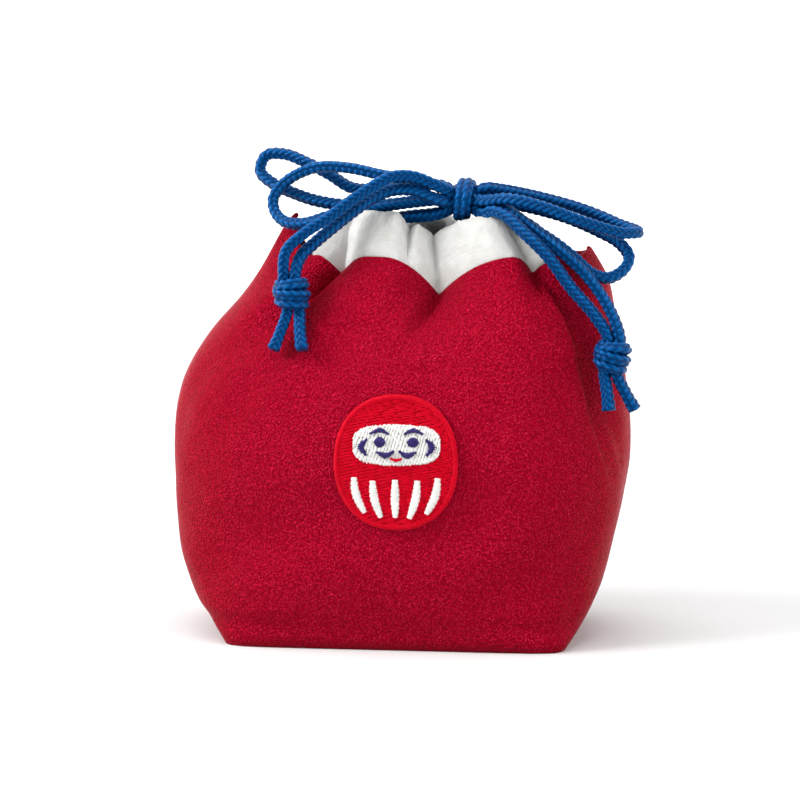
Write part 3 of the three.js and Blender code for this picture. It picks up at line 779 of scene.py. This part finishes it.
def makeCasing(side):
    low, high = casing["spans"][side]
    seed = casing["seeds"][side]
    u = np.linspace(0, 1, casing["along"] + 1)
    shares = low + (high - low) * u
    foot, inside = gatheredRing(pouch["seam"], pouch["sections"][-1][1:], shares)
    top, _ = gatheredRing(pouch["top"][0], pouch["top"][1:], shares)
    top[:, 2] -= casing["lean"] * (top[:, 0] - (pouch["top"][2] - pouch["top"][1]) / 2)
    height, size = casing["waver"]
    top[:, 2] += height * softNoise(top, size, seed)
    ends = np.where(u < 0.5, *casing["falls"][side])
    top += (foot - top) * (ends * smoothStep(np.abs(2 * u - 1), casing["fallFrom"], 1))[:, None]
    inward, _ = gatherAt(shares, pouch["top"][0])
    loose = 1 - np.clip(inward / casing["pinchDepth"], 0, 1)
    full = casing["full"] * (casing["pinched"] + (1 - casing["pinched"]) * loose)
    # once round the sleeve: up the outside, over the top and down the inside
    turn = -math.pi / 2 + 2 * math.pi * np.arange(casing["round"] + 1) / casing["round"]
    rise = 0.5 + 0.5 * np.sign(np.sin(turn)) * np.abs(np.sin(turn)) ** casing["square"]
    bulge = np.sign(np.cos(turn)) * np.abs(np.cos(turn)) ** casing["square"]
    bottom = foot - np.array([0, 0, casing["tuck"]])
    out = full[:, None] * bulge[None, :] - (full - casing["proud"])[:, None]
    grid = bottom[:, None, :] + (top - bottom)[:, None, :] * rise[None, :, None]
    grid = grid - inside[:, None, :] * out[:, :, None]
    normals = unit(np.cross(np.gradient(grid, axis=0), np.gradient(grid, axis=1)))
    places = grid.reshape(-1, 3)
    ripple = np.zeros(len(places))
    for depth, size, shift, stretch, sharp in casing["ripples"]:
        waves = softNoise(places * (1, 1, stretch), size, seed + shift)
        ripple += depth * (0.5 - np.abs(waves) if sharp else waves)
    strength = casing["footRipple"] + (1 - casing["footRipple"]) * rise
    ripple = ripple.reshape(grid.shape[:2]) * strength[None, :]
    points = (grid + normals * ripple[:, :, None]).reshape(-1, 3)
    wide = casing["round"] + 1
    row, column = np.meshgrid(np.arange(len(u) - 1), np.arange(wide - 1), indexing="ij")
    corners = ((row, column), (row + 1, column), (row + 1, column + 1), (row, column + 1))
    faces = np.stack([r * wide + c for r, c in corners], -1).reshape(-1, 4).tolist()
    length, girth = runOf(top), np.linspace(0, casing["flat"][1] / mm, wide)
    uvs = np.stack([np.stack([length[r], girth[c]], -1) for r, c in corners], 2).reshape(-1, 2)
    piece = addPiece("casing" + side.capitalize(), points * mm, faces, [whiteCloth], uvs)
    solid = piece.modifiers.new("clothThickness", "SOLIDIFY")
    solid.thickness = casing["cloth"] * mm
    solid.offset = -1
    bpy.context.view_layer.objects.active = piece
    bpy.ops.object.modifier_apply(modifier=solid.name)
    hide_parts("casing_" + side)
    return piece


casings = {side: makeCasing(side) for side in casing["spans"]}
print("casings made", sum(len(piece.data.polygons) for piece in casings.values()), "faces")


# embroidered badge: a padded oval filled with stitches; all in millimetres
badge = {"x": 2.3, "z": 63.9, "halfWidth": 20.4, "halfHeight": 22.3, "square": 2.2}
face = {"x": 2.6, "z": 69.8, "halfWidth": 14.2, "halfHeight": 6.6, "square": 3.1}
red, white, navy = 0, 1, 2  # order of the threads
thread = {"radius": 0.25, "sides": 6, "thin": (0.5, 0.95, 1, 0.95, 0.5), "shortest": 0.35, "sink": 0.22,
          "row": 0.36, "uneven": 0.2}
# rows of stitches: share of the oval they take up and reach, stitch, share of it that a row starts with,
# unevenness of starts, steps, edge and line, overlap, least rest, lift and arch
redFilling = {
    "kind": red, "upright": False, "rows": 0.93, "reach": 0.94, "stitch": 5.6, "first": (0.25, 0.25),
    "starts": 0.4, "steps": 0.9, "edge": 0, "waver": 0.05, "over": 0.12,
    "rest": 0.2, "open": 0.9, "lift": 0.62, "arch": 0.1}
whiteFilling = {
    "kind": white, "upright": True, "rows": 1, "reach": 1, "stitch": 3.6, "first": (0.35, 0.3),
    "starts": 0.3, "steps": 0.6, "edge": 0.22, "waver": 0, "over": 0.1,
    "rest": 0.3, "lift": 0.95, "arch": 0.16}
# from the middle of the face: eyes, then brow, side whisker and moustache with half widths, then mouth
features = {
    "lift": 1.3, "arch": 0.3, "eye": (5.4, 1.0), "eyeRadius": 1.75, "eyeHalf": 1.7, "eyeThreads": 11,
    "eyeOver": 0.15, "eyeArch": 0.25,
    "strokes": ((((2.6, 3.7), (5.4, 4.9), (8.5, 3.8)), (0.35, 0.95, 0.35)),
                (((9.6, 1.9), (11.6, -0.4), (9.9, -3.2)), (0.35, 1.35, 0.4)),
                (((0.9, -1.9), (3.4, -3.4), (6.4, -2.2)), (0.4, 1.2, 0.4))),
    "mouth": (((-1.9, -4.3), (0, -4.9), (1.9, -4.3)), (0.35, 0.65, 0.35)),
}
# strokes over the belly: top and foot, and how far each is bowed
belly = {
    "strokes": ((-11.3, 58.9, -7.9, 47.6, -1.0), (-5.2, 57.9, -2.6, 46.1, -0.7), (2.1, 58.3, 2.2, 46.2, 0),
                (9.4, 58.1, 6.8, 46.0, 0.7), (16.0, 59.0, 12.4, 47.5, 1.0)),
    "widths": (0.95, 1.3, 1.45, 1.3, 0.85), "lift": 0.98, "arch": 0.25,
}
rimSatin = {"points": 720, "step": 0.4, "inner": 0.905, "uneven": 0.006, "slant": 0.0045,
            "lift": 0.7, "arch": 0.3}
pad = {"rings": 8, "turns": 72, "reach": 0.985, "lift": 0.55, "edge": 0.02, "round": 6}


def frontDepth(x, z):
    # y of the red front at a place seen from the front
    heights = bodyOuter[:, pouch["columns"] * 3 // 4, 2]
    level = int(np.clip(np.searchsorted(heights, z) - 1, 0, len(heights) - 2))
    part = (z - heights[level]) / (heights[level + 1] - heights[level])
    half = slice(pouch["columns"] // 2, pouch["columns"])
    depths = [np.interp(x, bodyOuter[k, half, 0], bodyOuter[k, half, 1]) for k in (level, level + 1)]
    return depths[0] + (depths[1] - depths[0]) * part


def ovalReach(x, z, form):
    # 1 on the edge of an oval, less within
    return (abs((x - form["x"]) / form["halfWidth"]) ** form["square"]
            + abs((z - form["z"]) / form["halfHeight"]) ** form["square"]) ** (1 / form["square"])


def ovalHalf(offset, half, other, square):
    # half width of an oval at a distance from its middle
    share = abs(offset) / half
    return other * (1 - share**square) ** (1 / square) if share < 1 else 0


def ovalPoint(form, turn, reach=1.0):
    power = 2 / form["square"]
    wide, tall = (math.copysign(abs(way) ** power, way) for way in (math.cos(turn), math.sin(turn)))
    return form["x"] + reach * form["halfWidth"] * wide, form["z"] + reach * form["halfHeight"] * tall


class Stitches:
    def __init__(self):
        self.points, self.faces, self.uvs, self.kinds = [], [], [], []

    def addFace(self, corners, kind, uvs):
        self.faces.append(tuple(corners))
        self.kinds.append(kind)
        self.uvs += uvs

    def add(self, start, end, lift, kind, arch):
        # one thread from start to end, each (x, z), lifted off the red cloth
        a, b = np.array(start, float), np.array(end, float)
        length = np.linalg.norm(b - a)
        if length < thread["shortest"]:
            return
        sides, steps = thread["sides"], len(thread["thin"]) - 1
        base = len(self.points)
        dx, dz = (b - a) / length
        for i, thin in enumerate(thread["thin"]):
            t = i / steps
            x, z = a + (b - a) * t
            height = lift + arch * math.sin(math.pi * t) - (thread["sink"] if i in (0, steps) else 0)
            y = frontDepth(x, z) - height
            for k in range(sides):
                angle = 2 * math.pi * k / sides
                across = thread["radius"] * thin * math.cos(angle)
                outward = thread["radius"] * thin * math.sin(angle)
                self.points.append((x - dz * across, y - outward, z + dx * across))
        for i in range(steps):
            u0, u1 = (length * step / steps + base % 7 for step in (i, i + 1))
            low, high = base + i * sides, base + (i + 1) * sides
            for k in range(sides):
                n = (k + 1) % sides
                v0, v1 = k / sides, (k + 1) / sides
                self.addFace((low + k, low + n, high + n, high + k), kind,
                             [(u0, v0), (u0, v1), (u1, v1), (u1, v0)])
        for ring, flip in ((0, False), (steps, True)):
            loop = [base + ring * sides + k for k in range(sides)]
            self.addFace(loop if flip else loop[::-1], kind, [(0.0, 0.0)] * sides)

    def stroke(self, line, widths, lift, kind, arch):
        # satin stitches across a curved stroke, with its half widths along it
        path, _ = smoothPath([(x, 0, z) for x, z in line], thread["row"])
        along = unit(np.gradient(path, axis=0))
        for i, (point, way) in enumerate(zip(path, along)):
            half = np.interp(i / max(len(path) - 1, 1), np.linspace(0, 1, len(widths)), widths)
            half += thread["uneven"] * math.sin(i * 2.4) * math.sin(i * 0.9 + 1)
            x, z, dx, dz = point[0], point[2], way[2] * half, way[0] * half
            self.add((x - dx, z + dz), (x + dx, z - dz), lift, kind, arch)


def fillOval(stitches, dice, form, fill):
    # rows of stitches end to end, u along a row and v from row to row; the red is left open under the face
    def turned(u, v):
        return (v, u) if fill["upright"] else (u, v)

    def uneven(amount):
        return dice.uniform(-amount, amount) if amount else 0

    u0, v0 = turned(form["x"], form["z"])
    halfU, halfV = (half * fill["reach"] for half in turned(form["halfWidth"], form["halfHeight"]))
    deep = turned(form["halfWidth"], form["halfHeight"])[1] * fill["rows"]
    rows = int(2 * deep / thread["row"])
    first, more = fill["first"]
    for r in range(rows):
        v = v0 + deep * (2 * (r + 0.5) / rows - 1)
        half = ovalHalf(v - v0, halfV, halfU, form["square"]) + uneven(fill["edge"])
        u = u0 - half
        step = fill["stitch"] * (first + more * (r % 3)) + uneven(fill["starts"])
        while u < u0 + half - fill["rest"]:
            end = min(u + step, u0 + half)
            if form is face or any(ovalReach(at, v, face) > fill["open"] for at in (u, (u + end) / 2, end)):
                ends = (u - fill["over"], end + fill["over"])
                places = [turned(at, v + uneven(fill["waver"])) for at in ends]
                stitches.add(*places, fill["lift"], fill["kind"], fill["arch"])
            u = end
            step = fill["stitch"] + uneven(fill["steps"])


def addFeatures(stitches):
    lift, arch = features["lift"], features["arch"]
    across, up = features["eye"]
    last = features["eyeThreads"] - 1
    for side in (-1, 1):
        for c in range(last + 1):
            offset = features["eyeHalf"] * (2 * c / last - 1)
            half = math.sqrt(max(0, features["eyeRadius"] ** 2 - offset**2)) + features["eyeOver"]
            x, z = face["x"] + side * across + offset, face["z"] + up
            stitches.add((x, z - half), (x, z + half), lift, navy, features["eyeArch"])
        for line, widths in features["strokes"]:
            line = [(face["x"] + side * dx, face["z"] + dz) for dx, dz in line]
            stitches.stroke(line, widths, lift, navy, arch)
    line, widths = features["mouth"]
    stitches.stroke([(face["x"] + dx, face["z"] + dz) for dx, dz in line], widths, lift, red, arch)


def addBelly(stitches):
    for x0, z0, x1, z1, bowed in belly["strokes"]:
        line = [(x0 + (x1 - x0) * t + bowed * math.sin(math.pi * t), z0 + (z1 - z0) * t)
                for t in np.linspace(0, 1, 5)]
        stitches.stroke(line, belly["widths"], belly["lift"], white, belly["arch"])


def addRim(stitches, dice):
    # satin stitches from the edge inward, slanting a little
    last = rimSatin["points"]
    edge = np.array([ovalPoint(badge, 2 * math.pi * k / last) for k in range(last + 1)])
    run = runOf(edge)
    count = int(run[-1] / rimSatin["step"])
    slant = rimSatin["slant"]
    for k in range(count):
        x, z = (np.interp(run[-1] * k / count, run, edge[:, axis]) for axis in (0, 1))
        inner = rimSatin["inner"] + dice.uniform(-rimSatin["uneven"], rimSatin["uneven"])
        dx, dz = x - badge["x"], z - badge["z"]
        start = (badge["x"] + dx * inner - dz * slant, badge["z"] + dz * inner + dx * slant)
        stitches.add(start, (x, z), rimSatin["lift"], red, rimSatin["arch"])


def addPad(stitches):
    # pad under the stitches
    rings, turns = pad["rings"], pad["turns"]
    first = len(stitches.points)
    for ring in range(rings + 1):
        reach = pad["reach"] * ring / rings
        lift = pad["lift"] * (1 - reach ** pad["round"]) + pad["edge"]
        for k in range(turns):
            x, z = ovalPoint(badge, 2 * math.pi * k / turns, reach)
            stitches.points.append((x, frontDepth(x, z) - lift, z))
    for ring in range(1, rings):
        low, high = first + ring * turns, first + (ring + 1) * turns
        for k in range(turns):
            n = (k + 1) % turns
            stitches.addFace((low + k, low + n, high + n, high + k), red,
                             [(k, ring), (k + 1, ring), (k + 1, ring + 1), (k, ring + 1)])
    for k in range(turns):
        n = (k + 1) % turns
        stitches.addFace((first, first + turns + n, first + turns + k), red,
                         [(0.0, 0.0), (1.0, 1.0), (0.0, 1.0)])


def makeBadge():
    stitches = Stitches()
    dice = random.Random(11)
    fillOval(stitches, dice, badge, redFilling)
    fillOval(stitches, dice, face, whiteFilling)
    addFeatures(stitches)
    addBelly(stitches)
    addRim(stitches, dice)
    addPad(stitches)
    piece = addPiece("embroideredBadge", np.array(stitches.points) * mm, stitches.faces, threads,
                     stitches.uvs, None, stitches.kinds)
    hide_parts("embroidered_badge")
    return piece


embroideredBadge = makeBadge()
print("badge made", len(embroideredBadge.data.polygons), "faces")


# floor and light, in metres
# the paper is darker under the pouch, to send up little light, and glows softly from further out
studio = {
    "floor": 7.0, "rise": 2.5, "sweep": 2.2, "sweepSteps": 24, "pale": (0.45, 1.3, 0.645, 0.95),
    "glow": (0.5, 1.7, 0, 0.38), "shader": {"Roughness": 0.9, "Specular IOR Level": 0.1}, "room": 0.06,
}
# place, aim, size and power of each lamp
lamps = {
    "leftWindow": ((-1.15, -0.42, 0.85), (0, 0, 0.07), 0.7, 25),
    "topWindow": ((-0.1, -0.4, 1.2), (0, 0, 0.07), 1.0, 6),
    "rightFill": ((1.1, -0.42, 0.65), (0, 0, 0.07), 0.9, 8.5),
    "backdropWash": ((0, 0.7, 2.2), (0, 2.2, 0.6), 2.4, 46),
    "overhead": ((0, -0.3, 2.45), (0, -0.3, 0), 4, 8),
}


def makeFloor():
    bpy.ops.mesh.primitive_plane_add(size=studio["floor"], location=(0, 0, 0))
    floor = bpy.context.object
    floor.name = "paleFloor"
    bpy.ops.object.mode_set(mode="EDIT")
    bpy.ops.mesh.select_all(action="SELECT")
    bpy.ops.mesh.extrude_edges_move(TRANSFORM_OT_translate={"value": (0, 0, studio["rise"])})
    bpy.ops.object.mode_set(mode="OBJECT")
    sweep = floor.modifiers.new("sweep", "BEVEL")
    sweep.width = studio["sweep"]
    sweep.segments = studio["sweepSteps"]
    sweep.limit_method = "ANGLE"
    bpy.ops.object.modifier_apply(modifier=sweep.name)
    bpy.ops.object.shade_smooth()
    material, nodes, links, shader = newMaterial("palePaper")
    away = addNode(nodes, "ShaderNodeVectorMath", operation="LENGTH")
    links.new(nodes.new("ShaderNodeTexCoord").outputs["Object"], away.inputs[0])
    for socket, change in (("Base Color", "pale"), ("Emission Strength", "glow")):
        near, far, first, last = studio[change]
        fade = addNode(nodes, "ShaderNodeMapRange", interpolation_type="SMOOTHSTEP", From_Min=near,
                       From_Max=far, To_Min=first, To_Max=last)
        links.new(away.outputs["Value"], fade.inputs["Value"])
        links.new(fade.outputs["Result"], shader.inputs[socket])
    material.cycles.emission_sampling = "NONE"
    for name, value in studio["shader"].items():
        shader.inputs[name].default_value = value
    floor.data.materials.append(material)
    floor.select_set(False)


def addLamp(name, place, aim, size, power):
    bpy.ops.object.light_add(type="AREA", location=place)
    light = bpy.context.object
    light.name = name
    light.data.shape = "DISK"
    light.data.size = size
    light.data.energy = power
    light.rotation_euler = (Vector(aim) - Vector(place)).to_track_quat("-Z", "Y").to_euler()
    light.select_set(False)


makeFloor()
for name, lamp in lamps.items():
    addLamp(name, *lamp)
world = bpy.data.worlds.new("paleRoom")
world.use_nodes = True
world.node_tree.nodes["Background"].inputs["Color"].default_value = (1, 1, 1, 1)
world.node_tree.nodes["Background"].inputs["Strength"].default_value = studio["room"]
bpy.context.scene.world = world
bpy.context.scene.view_settings.view_transform = "Standard"
print("studio set")
